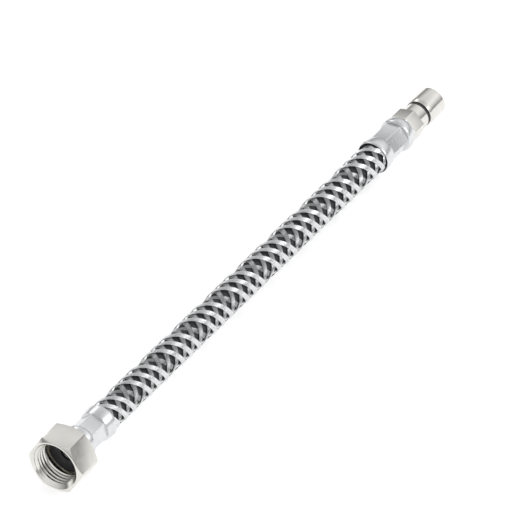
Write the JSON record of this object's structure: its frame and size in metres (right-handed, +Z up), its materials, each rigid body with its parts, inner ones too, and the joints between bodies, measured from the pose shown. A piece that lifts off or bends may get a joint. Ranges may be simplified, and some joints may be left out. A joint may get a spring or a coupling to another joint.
{
  "type": "flexible tap hose",
  "caption": "Straight braided water hose with crimped ferrules, a swivelling hexagonal union nut on one end and a round tap tail with a spanner hexagon on the other.",
  "frame": {"origin": "under the middle of the hose's length, on the surface that the nut's lowest flat rests on", "axes": "+X along the hose from the union nut to the tap tail, +Z up, square to the nut's lowest flat, +Y across"},
  "size_m": [0.3, 0.0278, 0.024],
  "materials": {
    "nickel_plate": "nickel-plated brass, turned and softly bright",
    "crimped_steel": "thin stainless tube, drawn and crimped",
    "braid_steel": "bright stainless wire laid side by side in bands",
    "liner_rubber": "matt black rubber",
    "seal_rubber": "smooth black rubber"
  },
  "bodies": {
    "hose": {"sealing_washer": "seal_rubber", "nut_tail": "nickel_plate", "ferrule_nut_end": "crimped_steel", "hose_liner": "liner_rubber", "braid_band_right_1": "braid_steel", "braid_band_right_2": "braid_steel", "braid_band_right_3": "braid_steel", "braid_band_right_4": "braid_steel", "braid_band_left_1": "braid_steel", "braid_band_left_2": "braid_steel", "braid_band_left_3": "braid_steel", "braid_band_left_4": "braid_steel", "ferrule_tap_end": "crimped_steel", "tap_tail": "nickel_plate", "tail_ring": "seal_rubber"},
    "nut": {"union_nut": "nickel_plate"}
  },
  "joints": [
    {"name": "nut_swivel", "type": "hinge", "parent": "hose", "child": "nut", "pos_m": [-0.143, 0, 0.012], "axis": [1, 0, 0], "continuous": true}
  ]
}
